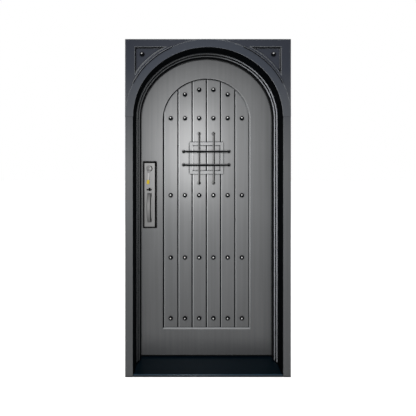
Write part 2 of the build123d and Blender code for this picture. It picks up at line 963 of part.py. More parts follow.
def speakeasy_bolt():
    """A small barrel bolt, drawn back clear of the liner."""
    y, z = bolt_spot()
    tip = -window_inside + little_door_gap + 1
    pin = rod_x(y, z, little_bolt_radius, tip, tip + little_bolt_length)
    knob_x = tip + little_bolt_length * little_bolt_knob_share
    return pin + rod_y(knob_x, z, little_bolt_radius, y, y + little_bolt_knob)


def speakeasy_bolt_guides():
    """The two welded eyes the little bolt runs in."""
    y, z = bolt_spot()
    first = -window_inside + little_eye_first
    half = little_eye_half
    z_range = (z - little_eye_height / 2, z + little_eye_height / 2)
    eyes = []
    for x in (first, first + little_eye_pitch):
        eye = block((x - half, x + half), (little_door_rear, y + little_eye_cover), z_range)
        eyes.append(eye - rod_x(y, z, little_bolt_radius + running_clearance, x - half - 1, x + half + 1))
    return eyes


# Handle set


def plate_outline(margin):
    middle = (plate_low + plate_high) / 2
    return Pos(plate_x, middle) * Rectangle(plate_width + 2 * margin, plate_high - plate_low + 2 * margin)


def tang_space():
    """The slot the thumb piece reaches through."""
    return block(
        (plate_x - tang_slot_half, plate_x + tang_slot_half),
        (plate_front - 1, leaf_front - 0.5),
        (thumb_height - tang_slot_below, thumb_height + tang_slot_above),
    )


def handle_backplate():
    """The dark raised surround: a block with bevelled edges behind the metal plate."""
    base = backplate_margin
    shape = tapered(
        plate_outline(base - backplate_bevel), plate_outline(base), backplate_front, leaf_front
    )
    return shape - barrel_space() - tang_space() - thumb_pin()


def handle_plate():
    shape = upright(plate_outline(0), plate_front, backplate_front)
    edges = shape.edges().filter_by(lambda edge: edge.center().Y < plate_front + 0.1)
    shape = chamfer(edges, plate_edge)
    return shape - barrel_space() - tang_space()


def pull_grip():
    """A bowed pull: a flat bar on two posts, drawn from its side and rounded at its edges."""
    seat = plate_front
    far = seat - grip_reach
    middle = (grip_low + grip_high) / 2
    inner_far = far + grip_thickness
    bend = seat - grip_shoulder
    outer = make_face(
        [
            Line((seat, grip_low), (bend, grip_low)),
            ThreePointArc((bend, grip_low), (far, middle), (bend, grip_high)),
            Line((bend, grip_high), (seat, grip_high)),
            Line((seat, grip_high), (seat, grip_low)),
        ]
    )
    low = grip_low + grip_post
    high = grip_high - grip_post
    bend = seat - grip_inner_shoulder
    hollow = make_face(
        [
            Line((seat + 1, low), (bend, low)),
            ThreePointArc((bend, low), (inner_far, middle), (bend, high)),
            Line((bend, high), (seat + 1, high)),
            Line((seat + 1, high), (seat + 1, low)),
        ]
    )
    side = Plane.YZ.offset(plate_x - grip_width / 2)
    shape = extrude(side * outer, amount=grip_width, dir=(1, 0, 0))
    cut = extrude(Plane.YZ.offset(plate_x - grip_width) * hollow, amount=2 * grip_width, dir=(1, 0, 0))
    shape = shape - cut
    rims = shape.edges().filter_by(
        lambda edge: edge.geom_type == GeomType.CIRCLE and edge.center().Y < seat - 10
    )
    return chamfer(rims, grip_edge)


def thumb_pivot_y():
    return backplate_front + backplate_thickness / 2


def thumb_piece():
    """The V-shaped press above the pull, tipping about a pin inside the surround."""
    low = thumb_height - thumb_tang_thickness
    high = low + thumb_thickness
    tip = plate_front - thumb_length
    near = plate_front - thumb_stand_off
    bend = near - thumb_shoulder
    left = plate_x - thumb_width / 2
    right = plate_x + thumb_width / 2
    outline = make_face(
        [
            Line((left, near), (left, bend)),
            ThreePointArc((left, bend), (plate_x, tip), (right, bend)),
            Line((right, bend), (right, near)),
            Line((right, near), (left, near)),
        ]
    )
    press = Pos(0, 0, low) * extrude(outline, amount=thumb_thickness, dir=(0, 0, 1))
    valley = high - thumb_notch_depth
    brim = high + 2
    notch = make_face(
        [
            Line((left - 1, brim), (plate_x, valley)),
            Line((plate_x, valley), (right + 1, brim)),
            Line((right + 1, brim), (left - 1, brim)),
        ]
    )
    press = press - upright(notch, tip - 1, near + 1)
    pivot = thumb_pivot_y()
    pin_z = thumb_height - thumb_pin_drop
    across = (plate_x - thumb_tang_half, plate_x + thumb_tang_half)
    tang = block(across, (near - thumb_tang_root, pivot), (low, thumb_height))
    hub = rod_x(pivot, pin_z, thumb_hub_radius, *across)
    hole = rod_x(pivot, pin_z, thumb_pin_radius + running_clearance, across[0] - 1, across[1] + 1)
    return press + tang + hub - hole


def thumb_pin():
    """The pin the thumb piece tips on, held in the sides of the slot."""
    reach = tang_slot_half + thumb_pin_seat
    pin_z = thumb_height - thumb_pin_drop
    return rod_x(thumb_pivot_y(), pin_z, thumb_pin_radius, plate_x - reach, plate_x + reach)


def lock_cylinder():
    """The round housing of the outside key cylinder."""
    rose_low = plate_front - cylinder_proud
    rose = rod_y(plate_x, cylinder_height, cylinder_radius, rose_low, plate_front)
    edges = rose.edges().filter_by(lambda edge: edge.center().Y < rose_low + 0.1)
    rose = chamfer(edges, cylinder_edge)
    body = rose + rod_y(plate_x, cylinder_height, barrel_radius, plate_front, case_front_y)
    bore = plug_radius + plug_clearance
    return body - rod_y(plate_x, cylinder_height, bore, rose_low - 1, case_front_y + 1)


def key_slot(extra):
    half_x = key_thickness / 2 + extra
    half_z = key_blade / 2 + extra
    low = plate_front - cylinder_proud - key_neck
    return block(
        (plate_x - half_x, plate_x + half_x),
        (low, plate_front + key_depth + extra),
        (cylinder_height - half_z, cylinder_height + half_z),
    )


def key_plug():
    low = plate_front - cylinder_proud - plug_proud
    plug = rod_y(plate_x, cylinder_height, plug_radius, low, case_front_y - seat_gap)
    return plug - key_slot(0.02)


def bow_middle():
    return plate_front - cylinder_proud - key_neck - key_bow_radius + key_bow_overlap


def ring_hole_y():
    return bow_middle() - key_bow_radius + key_hole_inset


def key():
    """The key standing in the plug, its round bow edge-on to the front."""
    half = key_thickness / 2
    bow = rod_x(bow_middle(), cylinder_height, key_bow_radius, plate_x - half, plate_x + half)
    hole = rod_x(ring_hole_y(), cylinder_height, key_hole_radius, plate_x - 5, plate_x + 5)
    return key_slot(0) + bow - hole


def ring_centre_z():
    """The ring hangs with its wire on the bottom of the key's hole."""
    return cylinder_height - key_hole_radius + ring_wire + ring_slack - ring_radius


def key_ring():
    """The split ring through the key, hanging at forty-five degrees to the door."""
    wire = Plane.XZ * Pos(ring_radius, 0) * RegularPolygon(ring_wire, 6)
    ring = revolve(wire, axis=Axis.Z)
    return Pos(plate_x, ring_hole_y(), ring_centre_z()) * Rot(0, 0, 45) * Rot(90, 0, 0) * ring


def tag_top():
    return ring_centre_z() - ring_radius + key_hole_radius - ring_wire - ring_slack


def hung(shape):
    """A piece of the hanging strap, tilted a little to the left about the strap's hole."""
    return Pos(plate_x, ring_hole_y(), tag_top()) * Rot(0, strap_tilt, 0) * shape


def key_strap():
    """A light flat strap hanging from the ring."""
    half = strap_width / 2
    top = key_hole_radius + 1.8
    strap = block((-half, half), (-strap_thickness / 2, strap_thickness / 2), (-strap_length, top))
    return hung(strap - rod_y(0, 0, key_hole_radius, -5, 5))


def key_tag():
    """A thick plastic tag moulded on the strap's lower end."""
    half = tag_width / 2
    deep = tag_thickness / 2
    tag = block((-half, half), (-deep, deep), (-strap_length - tag_length, -strap_length))
    return hung(fillet(tag.edges().filter_by(Axis.Y), tag_corner))


# Inside fittings and lock


def inner_plate():
    """The inside plate, with the same outline as the outside one."""
    shape = upright(plate_outline(0), leaf_back, leaf_back + plate_thickness)
    edges = shape.edges().filter_by(lambda edge: edge.center().Y > leaf_back + plate_thickness - 0.1)
    shape = chamfer(edges, plate_edge)
    bore = plug_radius + plug_clearance
    for z in (thumb_height, cylinder_height):
        shape = shape - rod_y(plate_x, z, bore, leaf_back - 1, leaf_back + plate_thickness + 1)
    return shape


def inner_lever():
    """The inside lever handle: a round neck on its spindle and a tapered arm."""
    face = leaf_back + plate_thickness
    neck_end = face + inner_lever_stand
    neck = rod_y(plate_x, thumb_height, plug_radius, case_back_y + seat_gap, neck_end - inner_lever_thick)
    neck = neck + rod_y(plate_x, thumb_height, inner_rose_radius, face + seat_gap, face + inner_rose_depth)
    arm_y = neck_end - inner_lever_thick
    thick = Plane(origin=(plate_x - inner_lever_back, arm_y, thumb_height), z_dir=(1, 0, 0))
    thin = Plane(origin=(plate_x + inner_lever_length, arm_y, thumb_height), z_dir=(1, 0, 0))
    arm = loft(
        [
            (thick * RegularPolygon(inner_lever_thick, bar_sides)).face(),
            (thin * RegularPolygon(inner_lever_thin, bar_sides)).face(),
        ],
        ruled=True,
    )
    return neck + arm


def thumbturn():
    """The inside turn knob of the deadbolt."""
    face = leaf_back + plate_thickness
    stem_end = face + (turn_wing_start + turn_wing_end) / 2
    stem = rod_y(plate_x, cylinder_height, plug_radius, case_back_y + seat_gap, stem_end)
    rose = rod_y(plate_x, cylinder_height, turn_rose_radius, face + seat_gap, face + turn_rose_depth)
    wing = block(
        (plate_x - turn_wing_thickness / 2, plate_x + turn_wing_thickness / 2),
        (face + turn_wing_start, face + turn_wing_end),
        (cylinder_height - turn_wing_half, cylinder_height + turn_wing_half),
    )
    wing = chamfer(wing.edges().filter_by(Axis.X), turn_wing_corner)
    return stem + rose + wing


def bolt_bar(height, bolt_width, bolt_height, x_low, x_high, extra):
    return block(
        (x_low - extra, x_high + extra),
        (leaf_middle - bolt_width / 2 - extra, leaf_middle + bolt_width / 2 + extra),
        (height - bolt_height / 2 - extra, height + bolt_height / 2 + extra),
    )


def bolt_passages():
    """The holes both bolts slide in, through the faceplate and the case's front wall."""
    reach = (-leaf_edge - 5, faceplate_inner_x + case_wall + 1)
    latch = bolt_bar(thumb_height, latch_width, latch_height, *reach, bolt_clearance)
    return latch + bolt_bar(cylinder_height, deadbolt_width, deadbolt_height, *reach, bolt_clearance)


def lock_case():
    """The mortise case: a thin box round both bolts."""
    wall = case_wall
    case = case_space(0) - case_space(-wall)
    return case - bolt_passages()


def lock_faceplate():
    half = faceplate_width / 2
    plate = block(
        (-leaf_edge, faceplate_inner_x),
        (leaf_middle - half, leaf_middle + half),
        (case_low - 1, case_high + 1),
    )
    return plate - bolt_passages()


def latch_bolt():
    """The spring latch, thrown into the strike, its nose sloped on the closing side."""
    tip = -leaf_edge - latch_throw
    bar_solid = bolt_bar(
        thumb_height, latch_width, latch_height, tip, faceplate_inner_x + latch_tail, 0
    )
    nose = bar_solid.edges().filter_by(Axis.Z).filter_by(lambda edge: edge.center().X < tip + 1)
    nose = nose.filter_by(lambda edge: edge.center().Y < leaf_middle)
    return chamfer(nose, latch_nose)


def deadbolt():
    """The deadbolt, stored drawn back flush with the faceplate."""
    tail = faceplate_inner_x + deadbolt_tail
    tip = -leaf_edge + deadbolt_inset
    return bolt_bar(cylinder_height, deadbolt_width, deadbolt_height, tip, tail, 0)


def frame_parts():
    left_sheet = corner_sheet(True)
    left_back = Pos(0, back - front - sheet, 0) * corner_sheet(False)
    wrap = corner_wrap()
    pan = corner_pan()
    bead = arch_bead()
    return {
        "jamb_left": jamb(True),
        "jamb_right": other_side(jamb(False)),
        "arch_head": arch_head(),
        "corner_wraps": group([wrap, other_side(wrap)]),
        "corner_front_left": left_sheet,
        "corner_front_right": other_side(left_sheet),
        "corner_back_plates": group([left_back, other_side(left_back)]),
        "corner_pans": group([pan, other_side(pan)]),
        "arch_beads": group([bead, other_side(bead)]),
        "corner_studs": corner_studs(),
        "stop_outer": stop_outer(),
        "stop_inner": stop_inner(),
        "weatherstrip": weatherstrip(),
        "threshold": threshold(),
        "strike_plates": strike_plates(),
        "strike_screws": group(strike_screw_list()),
        "hinge_jamb_leaves": group(hinge_half(z, False) for z in hinge_heights),
        "hinge_pins": group(hinge_pin(z) for z in hinge_heights),
        "hinge_bearings": group(hinge_bearing_ring(z) for z in hinge_heights),
    }


def leaf_parts():
    parts = {
        "latch_stile": leaf_stile(True),
        "hinge_stile": other_side(leaf_stile(False)),
        "leaf_arch_rail": leaf_arch_rail(),
        "leaf_bottom_rail": leaf_bottom_rail(),
        "front_skin": front_skin(),
        "back_skin": back_skin(),
        "inner_panel": inner_panel(),
        "insulation_core": insulation_core(),
        "door_sweep": door_sweep(),
        "door_studs": door_studs(),
        "upright_bars": upright_bars(),
        "cross_bars": cross_bars(),
        "speakeasy_frame": speakeasy_frame(),
        "speakeasy_pins": speakeasy_pins(),
        "hinge_door_leaves": group(hinge_half(z, True) for z in hinge_heights),
    }
    for index in range(plank_count):
        parts["plank_" + str(index + 1)] = plank(index)
    return parts


def fitting_parts():
    return {
        "handle_backplate": handle_backplate(),
        "handle_plate": handle_plate(),
        "pull_grip": pull_grip(),
        "thumb_piece": thumb_piece(),
        "thumb_pin": thumb_pin(),
        "lock_cylinder": lock_cylinder(),
        "key_plug": key_plug(),
        "key": key(),
        "key_ring": key_ring(),
        "key_strap": key_strap(),
        "key_tag": key_tag(),
        "inner_plate": inner_plate(),
        "inner_lever": inner_lever(),
        "thumbturn": thumbturn(),
        "lock_case": lock_case(),
        "lock_faceplate": lock_faceplate(),
        "latch_bolt": latch_bolt(),
        "deadbolt": deadbolt(),
        "speakeasy_door": speakeasy_door(),
        "speakeasy_bolt": speakeasy_bolt(),
    }


os.makedirs("parts", exist_ok=True)
for name, shape in {**frame_parts(), **leaf_parts(), **fitting_parts()}.items():
    export_step(shape, "parts/" + name + ".step")
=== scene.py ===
# %% [markdown]
# An arched iron entrance door in its square frame, dressed for its picture.
# The tubes, sheets, planks, bars and lock parts come from the built model at their real size.
# This lesson gives them rounded edges, paint, brushed metal and rubber, and adds the small forged
# and welded details that a maker's hand leaves. Lengths are metres; outside faces -Y, and Z is up.

import json
import math

import bmesh
import bpy
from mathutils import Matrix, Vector


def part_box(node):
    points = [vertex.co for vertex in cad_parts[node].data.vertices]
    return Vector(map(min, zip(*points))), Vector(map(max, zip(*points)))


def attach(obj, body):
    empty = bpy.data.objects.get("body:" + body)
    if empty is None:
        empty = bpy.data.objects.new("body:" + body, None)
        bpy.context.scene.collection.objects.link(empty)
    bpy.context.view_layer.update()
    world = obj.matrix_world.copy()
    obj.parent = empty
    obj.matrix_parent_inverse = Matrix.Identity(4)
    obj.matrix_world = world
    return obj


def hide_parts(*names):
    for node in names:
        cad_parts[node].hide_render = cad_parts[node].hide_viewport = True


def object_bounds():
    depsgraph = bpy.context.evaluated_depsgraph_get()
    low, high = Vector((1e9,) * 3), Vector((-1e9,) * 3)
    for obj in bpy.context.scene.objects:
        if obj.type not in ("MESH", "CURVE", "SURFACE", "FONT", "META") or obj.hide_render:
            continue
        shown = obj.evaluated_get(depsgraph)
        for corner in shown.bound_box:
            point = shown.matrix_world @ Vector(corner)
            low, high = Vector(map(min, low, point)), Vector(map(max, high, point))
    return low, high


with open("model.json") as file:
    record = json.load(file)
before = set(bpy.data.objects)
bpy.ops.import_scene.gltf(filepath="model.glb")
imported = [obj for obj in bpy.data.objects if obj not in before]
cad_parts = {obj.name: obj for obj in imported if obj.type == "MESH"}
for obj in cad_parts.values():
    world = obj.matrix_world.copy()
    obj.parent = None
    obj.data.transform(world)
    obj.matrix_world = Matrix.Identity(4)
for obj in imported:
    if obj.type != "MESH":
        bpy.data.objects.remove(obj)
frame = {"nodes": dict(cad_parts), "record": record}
built_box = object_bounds()
nodes = frame["nodes"]
print("loaded", len(nodes), "pieces; the door measures", [round(v, 3) for v in built_box[1] - built_box[0]])

# %% [markdown]
# A material is a web of nodes joined by sockets. It could be wired by hand, node by node, but its
# maths then hides among the links. Here one small class wraps a socket, and every operator on it
# adds the Math node that does the sum, so a formula reads like one.


# %% Sockets that understand arithmetic
class Signal:
    """One output socket of a web of nodes, with arithmetic."""

    def __init__(self, web, socket):
        self.web = web
        self.socket = socket

    def math(self, operation, *values):
        return self.web.node("ShaderNodeMath", {"operation": operation}, dict(enumerate(values)))

    def __add__(self, other):
        return self.math("ADD", self, other)

    def __radd__(self, other):
        return self.math("ADD", other, self)

    def __sub__(self, other):
        return self.math("SUBTRACT", self, other)

    def __rsub__(self, other):
        return self.math("SUBTRACT", other, self)

    def __mul__(self, other):
        return self.math("MULTIPLY", self, other)

    def __rmul__(self, other):
        return self.math("MULTIPLY", other, self)

    def __truediv__(self, other):
        return self.math("DIVIDE", self, other)

    def __rtruediv__(self, other):
        return self.math("DIVIDE", other, self)

    def __pow__(self, other):
        return self.math("POWER", self, other)

    def __rpow__(self, other):
        return self.math("POWER", other, self)

    def __abs__(self):
        return self.math("ABSOLUTE", self)

    def clamped(self, low, high):
        return self.math("MINIMUM", self.math("MAXIMUM", self, low), high)

    def rise(self, start, full):
        """A share that is 0 up to start and grows to 1 at full, which may also be the lower one."""
        return ((self - start) / (full - start)).clamped(0.0, 1.0)


print("the sockets can do sums")

# %% [markdown]
# Every other node comes from one method that takes its type, its settings and what goes into its
# sockets. A Web is any tree of nodes, such as the sky's, and a Finish is a material's web around one
# Principled shader. The helpers name what a painter would ask for: a place, a noise, a blend of two
# colours, a bump, or a dull second shader laid over the first, which lays painted shade or plain black.


# %% Webs and finishes
class Web:
    """A tree of nodes that is being drawn."""

    def __init__(self, tree):
        self.tree = tree

    def node(self, kind, settings=None, sockets=None, output=0):
        """Add a node: its settings are set first, then its sockets get values or links."""
        made = self.tree.nodes.new(kind)
        for key, value in (settings or {}).items():
            setattr(made, key, value)
        for key, value in (sockets or {}).items():
            self.connect(made.inputs[key], value)
        return Signal(self, made.outputs[output])

    def connect(self, socket, value):
        if isinstance(value, Signal):
            self.tree.links.new(value.socket, socket)
        else:
            socket.default_value = value


class Finish(Web):
    """A material under construction, around one Principled shader."""

    def __init__(self, name, **constants):
        self.material = bpy.data.materials.new(name)
        self.material.use_nodes = True
        super().__init__(self.material.node_tree)
        self.shader = self.tree.nodes["Principled BSDF"]
        self.drive(**constants)

    def drive(self, **signals):
        """Give values or links to the shader's own sockets."""
        for socket, value in signals.items():
            self.connect(self.shader.inputs[socket.replace("_", " ")], value)

    def place(self):
        return self.node("ShaderNodeTexCoord", output="Object")

    def facing(self, output="Normal"):
        return self.node("ShaderNodeNewGeometry", output=output)

    def axis(self, vector, letter):
        """One of a vector's three numbers."""
        return self.node("ShaderNodeSeparateXYZ", {}, {0: vector}, output=letter)

    def noise(self, scale, detail=3.0, stretch=(1, 1, 1)):
        where = self.node("ShaderNodeMapping", {}, {"Vector": self.place(), "Scale": stretch})
        return self.node("ShaderNodeTexNoise", {}, {"Vector": where, "Scale": scale, "Detail": detail})

    def blend(self, share, first, second):
        """A colour between two others, by a share from 0 to 1."""
        sockets = {"Factor": share, "A": first, "B": second}
        return self.node("ShaderNodeMix", {"data_type": "RGBA"}, sockets, output="Result")

    def bump(self, height, depth):
        """Set the normal from a height signal; depth is in metres."""
        sockets = {"Height": height, "Distance": depth, "Strength": 0.5}
        self.drive(Normal=self.node("ShaderNodeBump", {}, sockets))

    def lay_over(self, share, colour, roughness, gloss):
        """Cover the first shader with a second, dull one, as far as the share says."""
        look = {"Base Color": colour, "Roughness": roughness, "Specular IOR Level": gloss}
        dull = self.node("ShaderNodeBsdfPrincipled", {}, look)
        own = Signal(self, self.shader.outputs[0])
        both = self.node("ShaderNodeMixShader", {}, {0: share, 1: own, 2: dull})
        self.connect(self.tree.nodes["Material Output"].inputs["Surface"], both)


def grey(level, blue=0.0):
    """A grey of linear light, leaning towards blue by a share."""
    return (level, level * (1 + blue / 2), level * (1 + blue), 1.0)


# Near-black: the iron's own black, and the colour of painted shade.
black_and_shade = grey(0.003, 0.5)
print("webs, finishes and greys are ready")

# %% [markdown]
# Door and frame carry one satin charcoal powder coat. Up close such a coat is slightly cloudy where
# the gun passed twice, flecked by its grains, and streaked where it was wiped up and down. A flat
# grey would look like plastic, so noise at three scales moves the tone between two greys.


# %% The sprayed tone
def sprayed_paint(coat, cloud, dark, light):
    fleck = coat.noise(900.0, 2.0)
    stroke = coat.noise(48.0, 3.0, (1, 1, 0.025))
    tone = ((cloud - 0.5) * 1.3 + (fleck - 0.5) * 0.35 + stroke).clamped(0.0, 1.0)
    return coat.blend(tone, dark, light)


print("the sprayed tone is ready")

# %% [markdown]
# Paint wears thin on edges, and painted shade lies in seams. The Bevel node gives the normal that an
# edge would have if it were round; where that turns away from the true one, the coat is thin. Edges
# that turn to the left, up or down also get a painted highlight. Ambient
# Occlusion finds the seams: it tells how much open sky a point sees within a short reach.


# %% Worn and highlighted edges, shaded seams
def edge_wear_and_highlight(coat, cloud, radius, edge_highlight):
    rounded = coat.node("ShaderNodeBevel", {"samples": 4}, {"Radius": radius})
    pair = {0: rounded, 1: coat.facing()}
    turned = 1.0 - coat.node("ShaderNodeVectorMath", {"operation": "DOT_PRODUCT"}, pair, output="Value")
    wear_and_edge_light = (turned * coat.noise(55.0) * cloud * 12.0).clamped(0.0, 0.5)
    if edge_highlight:
        # Painted highlight on edges that turn to the left, up or down.
        light_facing = coat.axis(rounded, "X") * -1.3 + abs(coat.axis(rounded, "Z")) * 0.9 - 0.05
        wear_and_edge_light = wear_and_edge_light + (turned * light_facing.clamped(0.0, 1.0) * edge_highlight).clamped(0.0, 0.7)
    return wear_and_edge_light


def seam_shade(coat, reach=0.012):
    # Painted shade in seams, corners and recesses, found with Ambient Occlusion.
    sky = coat.node("ShaderNodeAmbientOcclusion", {"samples": 6}, {"Distance": reach}, output="AO")
    return (1.0 - sky).rise(0.12, 0.32)


print("wear and soot are ready")

# %% [markdown]
# The slanting sides of the pressed pans, beads and lips show light where they face up or to the
# left, and dark where they face down or to the right. The lamps alone would show this only faintly
# on faces a few millimetres wide, so the paint says it too: two shares come from the normal.


# %% Slanting faces
def slope_tone(coat):
    nx, ny, nz = (coat.axis(coat.facing(), letter) for letter in "XYZ")
    flat = abs(ny)
    slant = flat.rise(0.2, 0.367) * flat.rise(0.98, 0.909)
    lift = (nz * 0.9 - nx * 0.8) * slant
    return lift.clamped(0.0, 0.8), (lift * -1.6).clamped(0.0, 0.85)


print("slopes are ready")

# %% [markdown]
# The joints between the planks get a dark line of painted shade, with a painted highlight to the right
# of each. They repeat at one pitch, so the fraction of X over the pitch tells how far the next joint lies.
# The lining of the arched opening lies in deep shade in the photo, and that shade is painted on. Its
# faces point to the arch's middle, and a dot product of the normal with the line from that middle finds them.

# %% Plank joints and the lining of the opening
arch_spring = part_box("jamb_left")[1].z
plank_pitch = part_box("plank_2")[1].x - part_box("plank_2")[0].x
joint_edge = 0.005
joint_core = 0.00375
joint_light_place = 0.0068
joint_light_half = 0.00233


def joint_tone(coat):
    """Two shares: how much painted highlight and how much painted shade a point gets for its distance from a
    joint.
    """
    turn = coat.axis(coat.place(), "X") / plank_pitch + 0.5
    side = (turn.math("FRACT", turn) - 0.5) * plank_pitch
    # Painted highlight just right of each joint; painted shade within the joint.
    painted_highlight = 1.0 - abs(side - joint_light_place) / joint_light_half
    return painted_highlight.clamped(0.0, 0.6), abs(side).rise(joint_edge, joint_core)


def inward_facing(coat):
    """Share of painted shade: from 0 on the face and the outer sides to 1 on the lining."""
    normal = coat.facing("True Normal")
    nx, nz = coat.axis(normal, "X"), coat.axis(normal, "Z")
    x, z = coat.axis(coat.place(), "X"), coat.axis(coat.place(), "Z")
    above = (z - arch_spring).clamped(0.0, 1.0)
    reach = (x * x + above * above + 0.0001) ** 0.5
    return ((nx * x + nz * above) / reach).rise(-0.2, -0.7)


print("planks repeat at", round(plank_pitch, 4), "m; the arch springs at", round(arch_spring, 3), "m")

# %% [markdown]
# Now the coat itself. Tone feeds the colour, the cloud feeds the roughness, and a fine orange peel
# feeds the bump. Where painted shade lies, a dull black shader covers the paint, because paint that
# is only coloured black would still mirror the white room. Options switch on what one piece needs:
# painted light falling off along an axis, painted shade on the lining, the plank joints, or painted shade on
# side faces.


# %% Satin charcoal coat
def charcoal(
    name, dark, light, roughness, blue=0.06, gloss=0.5, edge=0.002, edge_highlight=0.0,
    painted_falloff=None, lining=False, planks=False, shaded_sides=False,
):
    coat = Finish(name, Specular_IOR_Level=gloss)
    cloud = coat.noise(2.3, 4.0, (1, 1, 0.55))
    paint = sprayed_paint(coat, cloud, grey(dark, blue), grey(light, blue))
    # Painted light or shade that falls off along one axis.
    if painted_falloff:
        axis, start, full, colour = painted_falloff
        paint = coat.blend(coat.axis(coat.place(), axis).rise(start, full), paint, colour)
    # Painted highlight on slopes facing up or left, painted shade on slopes facing down or right.
    slope_highlight, slope_shade = slope_tone(coat)
    wear_and_highlight = edge_wear_and_highlight(coat, cloud, edge, edge_highlight) + slope_highlight
    shade = seam_shade(coat) * (1.0 - slope_highlight) + slope_shade
    if shaded_sides:
        # Painted shade on every face that does not face front or back.
        shade = shade + abs(coat.axis(coat.facing(), "Y")).rise(0.5, 0.0)
    if lining:
        wear_and_highlight = wear_and_highlight * abs(coat.axis(coat.place(), "Z") - arch_spring).rise(0.004, 0.0107)
        # Painted shade on the lining of the opening.
        shade = shade + inward_facing(coat)
    if planks:
        painted_highlight, filled = joint_tone(coat)
        # Painted highlight beside each plank joint, painted shade in it.
        wear_and_highlight = wear_and_highlight + painted_highlight
        shade = shade + filled
    wear_and_highlight = wear_and_highlight.clamped(0.0, 0.7)
    # Worn edges and painted highlights share one lighter grey.
    coat.drive(Base_Color=coat.blend(wear_and_highlight, paint, grey(light * 4.0, blue)))
    coat.drive(Roughness=(roughness - 0.05 + cloud * 0.1 - wear_and_highlight * 0.08).clamped(0.1, 0.9))
    coat.bump(coat.noise(420.0, 2.0), 0.00012)
    # Painted shade: a dull black shader laid over the paint.
    coat.lay_over(shade.clamped(0.0, 0.97), black_and_shade, 0.8, 0.0)
    return coat.material


print("the charcoal coat is ready")

# %% [markdown]
# One recipe then gives every painted piece its own coat. The frame gets painted shade towards its head,
# where the photo's light falls off, the stops get painted light towards the right, and the sill is a deep
# blue-black. Setting these by piece keeps each tone simple to change.

# %% Coats for frame, leaf and sill
# Painted shade darkens frame and arch towards the head; painted light brightens the stops to the right.
toward_head = ("Z", 1.3, 1.888)
corner_shade_falloff = (*toward_head, (0.013, 0.017, 0.028, 1))
arch_shade_falloff = (*toward_head, (0.022, 0.028, 0.041, 1))
stop_light_falloff = ("X", 0.05, 0.435, (0.5, 0.52, 0.56, 1))
tube = {"blue": 0.08, "gloss": 0.3, "edge": 0.004, "lining": True}
frame_coat = charcoal("frame_coat", 0.068, 0.1, 0.45, edge_highlight=9.0, painted_falloff=corner_shade_falloff, **tube)
arch_coat = charcoal("arch_coat", 0.068, 0.1, 0.45, edge_highlight=14.0, painted_falloff=arch_shade_falloff, **tube)
stop_coat = charcoal("stop_coat", 0.05, 0.07, 0.42, 0.12, edge=0.003, edge_highlight=8.0, painted_falloff=stop_light_falloff, lining=True)
leaf_coat = charcoal("leaf_coat", 0.074, 0.116, 0.38, edge=0.004, edge_highlight=8.0)
plank_coat = charcoal("plank_coat", 0.078, 0.122, 0.38, planks=True)
border_coat = charcoal("border_coat", 0.13, 0.17, 0.42, shaded_sides=True)
lookout_coat = charcoal("lookout_coat", 0.085, 0.125, 0.4, planks=True, shaded_sides=True)
hinge_coat = charcoal("hinge_coat", 0.05, 0.07, 0.4)
sill_coat = charcoal("sill_coat", 0.002, 0.003, 0.32, 6.0, gloss=0.25, edge=0.003)
print("made nine coats")

# %% [markdown]
# Studs and bars are blackened iron. A stud's crown gets a painted highlight of bright metal, and a bar a
# painted highlight of grey along the side that faces the light. Both are a share of how far the normal
# leans one way, and a dull black is laid over the rest: the iron's own black, and on the bars painted shade.


# %% Forged iron
def highlighted_iron(name, light_from, begin, full, highlight_grey, roughness, grit, scale, gloss):
    """Black forge scale, with a painted highlight of grey metal where the normal points towards the given
    light; on the bars the black is also painted shade.
    """
    iron = Finish(name, Specular_IOR_Level=gloss)
    grain = iron.noise(scale)
    normal = iron.facing()
    toward_light = sum(iron.axis(normal, letter) * share for letter, share in zip("XYZ", light_from))
    # Painted highlight where the normal points towards the light; the rest is black, on bars also painted
    # shade.
    painted_highlight = (toward_light + (grain - 0.5) * grit).rise(begin, full)
    iron.drive(Base_Color=iron.blend(painted_highlight, black_and_shade, grey(highlight_grey)))
    iron.drive(Roughness=roughness + grain * 0.1)
    iron.bump(grain, 0.0003)
    iron.lay_over(1.0 - painted_highlight, black_and_shade, 0.75, 0.03)
    return iron.material


# The directions that the painted highlights come from.
stud_light_from, upright_light_from, cross_light_from = (-0.14, -1.0, 0.2), (-0.85, -0.5, 0.15), (-0.1, -0.25, 0.95)
stud_iron = highlighted_iron("stud_coat", stud_light_from, 0.985, 1.01, 0.8, 0.38, 0.02, 240.0, 0.15)
upright_iron = highlighted_iron("upright_coat", upright_light_from, 0.46, 0.71, 0.24, 0.36, 0.1, 160.0, 0.2)
cross_iron = highlighted_iron("forged_coat", cross_light_from, 0.62, 0.87, 0.16, 0.36, 0.1, 160.0, 0.2)
print("made stud and bar iron")

# %% [markdown]
# The handle plate, pull and cylinder are satin steel, brushed up and down. A noise pulled long in Z
# gives fine streaks in tone, roughness and bump, which is cheaper and softer than modelled scratches.
# The right flanks of plate and pull are black in the photo, so painted shade covers what faces that way.


# %% Brushed satin steel
def brushed(name, dark, light, roughness, along, metallic=0.9, shaded_flank=False):
    steel = Finish(name, Metallic=metallic)
    streak = steel.noise(22.0, 4.0, along)
    steel.drive(Base_Color=steel.blend(streak, grey(dark), grey(light)))
    steel.drive(Roughness=roughness - 0.08 + streak * 0.16)
    steel.bump(streak, 0.00006)
    if shaded_flank:
        # Painted shade on faces that turn to the right.
        rightward = steel.axis(steel.facing(), "X")
        steel.lay_over(rightward.rise(0.15, 0.275), grey(0.002), 0.8, 0.0)
    return steel.material


upright_grain = (60, 60, 1)
level_grain = (1, 60, 60)
plate_steel = brushed("plate_steel", 0.1, 0.155, 0.5, upright_grain, shaded_flank=True)
grip_steel = brushed("grip_steel", 0.12, 0.17, 0.62, upright_grain, 0.55, True)
lock_steel = brushed("lock_steel", 0.12, 0.2, 0.45, level_grain)
print("made brushed steel")

